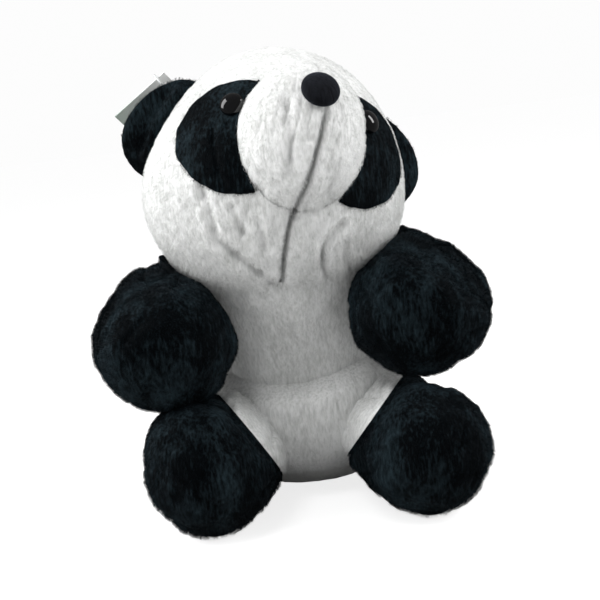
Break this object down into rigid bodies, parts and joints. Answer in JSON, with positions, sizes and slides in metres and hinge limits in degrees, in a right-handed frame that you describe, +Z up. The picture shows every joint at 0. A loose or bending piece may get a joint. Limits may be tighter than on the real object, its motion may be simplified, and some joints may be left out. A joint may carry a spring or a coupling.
{
  "type": "plush panda",
  "caption": "Seated plush panda looking up: sewn white and black skins over stuffing, hard eyes and nose, round ears, jointed soft limbs and a blank hang tag.",
  "frame": {"origin": "middle of the flat seat under the torso, on the surface that the toy sits on", "axes": "+Z up, -Y the way the toy faces, +X the toy's own left"},
  "size_m": [0.2777, 0.2604, 0.3172],
  "materials": {
    "white_plush": "short pile",
    "black_plush": "short pile",
    "polyester_stuffing": "loose fibre",
    "black_gloss_plastic": "polished",
    "flocked_black_plastic": "flocked",
    "natural_plastic": "moulded",
    "tag_card": "satin card",
    "clear_loop_plastic": "moulded"
  },
  "bodies": {
    "torso": {"torso_front_skin": "white_plush", "torso_back_skin": "white_plush", "shoulder_yoke_skin": "black_plush", "torso_filling": "polyester_stuffing"},
    "neck": {"neck_filling": "polyester_stuffing"},
    "head": {"head_left_skin": "white_plush", "head_right_skin": "white_plush", "head_filling": "polyester_stuffing", "muzzle_skin": "white_plush", "muzzle_filling": "polyester_stuffing", "eye_patch_left": "black_plush", "eye_patch_right": "black_plush", "eye_left": "black_gloss_plastic", "eye_right": "black_gloss_plastic", "eye_left_washer": "natural_plastic", "eye_right_washer": "natural_plastic", "nose": "flocked_black_plastic", "nose_washer": "natural_plastic"},
    "ear_left": {"ear_left_front_skin": "black_plush", "ear_left_back_skin": "black_plush", "ear_left_filling": "polyester_stuffing"},
    "ear_right": {"ear_right_front_skin": "black_plush", "ear_right_back_skin": "black_plush", "ear_right_filling": "polyester_stuffing", "hang_tag_loop": "clear_loop_plastic"},
    "hang_tag": {"hang_tag_card": "tag_card"},
    "arm_left": {"arm_left_skin": "black_plush", "arm_left_filling": "polyester_stuffing"},
    "arm_right": {"arm_right_skin": "black_plush", "arm_right_filling": "polyester_stuffing"},
    "leg_left": {"leg_left_skin": "black_plush", "thigh_left_skin": "white_plush", "leg_left_filling": "polyester_stuffing"},
    "leg_right": {"leg_right_skin": "black_plush", "thigh_right_skin": "white_plush", "leg_right_filling": "polyester_stuffing"},
    "tail": {"tail_skin": "white_plush", "tail_filling": "polyester_stuffing"}
  },
  "joints": [
    {"name": "neck_turn", "type": "hinge", "parent": "torso", "child": "neck", "pos_m": [-0.003, -0.012, 0.143], "axis": [-0.0281, -0.2109, 0.9771], "range_deg": [-25, 25], "stiffness_Nm_per_rad": 3},
    {"name": "neck_nod", "type": "hinge", "parent": "neck", "child": "head", "pos_m": [-0.003, -0.012, 0.143], "axis": [0.9622, 0.2723, 0], "range_deg": [-12, 4], "stiffness_Nm_per_rad": 6},
    {"name": "ear_left_fold", "type": "hinge", "parent": "head", "child": "ear_left", "pos_m": [0.06383, 0.00862, 0.23239], "axis": [0.1337, -0.0865, -0.9872], "range_deg": [-25, 25], "stiffness_Nm_per_rad": 0.05},
    {"name": "ear_right_fold", "type": "hinge", "parent": "head", "child": "ear_right", "pos_m": [-0.07209, -0.01655, 0.26753], "axis": [0.5436, 0.2119, 0.8121], "range_deg": [-4, 25], "stiffness_Nm_per_rad": 0.05},
    {"name": "hang_tag_swing", "type": "hinge", "parent": "ear_right", "child": "hang_tag", "pos_m": [-0.07583, 0.00312, 0.29988], "axis": [0.8255, 0, 0.5644], "range_deg": [-3, 25], "stiffness_Nm_per_rad": 0.002},
    {"name": "arm_left_swing", "type": "hinge", "parent": "torso", "child": "arm_left", "pos_m": [0.064, 0.022, 0.13], "axis": [-0.5, 0, 0.866], "range_deg": [-5, 45], "stiffness_Nm_per_rad": 1.2},
    {"name": "arm_right_swing", "type": "hinge", "parent": "torso", "child": "arm_right", "pos_m": [-0.064, 0.022, 0.13], "axis": [-0.5, 0, -0.866], "range_deg": [-5, 45], "stiffness_Nm_per_rad": 1.2},
    {"name": "leg_left_spread", "type": "hinge", "parent": "torso", "child": "leg_left", "pos_m": [0.05, -0.036, 0.046], "axis": [0, 0, 1], "range_deg": [-8, 35], "stiffness_Nm_per_rad": 1.2},
    {"name": "leg_right_spread", "type": "hinge", "parent": "torso", "child": "leg_right", "pos_m": [-0.05, -0.036, 0.046], "axis": [0, 0, -1], "range_deg": [-8, 35], "stiffness_Nm_per_rad": 1.2},
    {"name": "tail_flex", "type": "hinge", "parent": "torso", "child": "tail", "pos_m": [0, 0.07, 0.034], "axis": [1, 0, 0], "range_deg": [-15, 15], "stiffness_Nm_per_rad": 0.1}
  ]
}
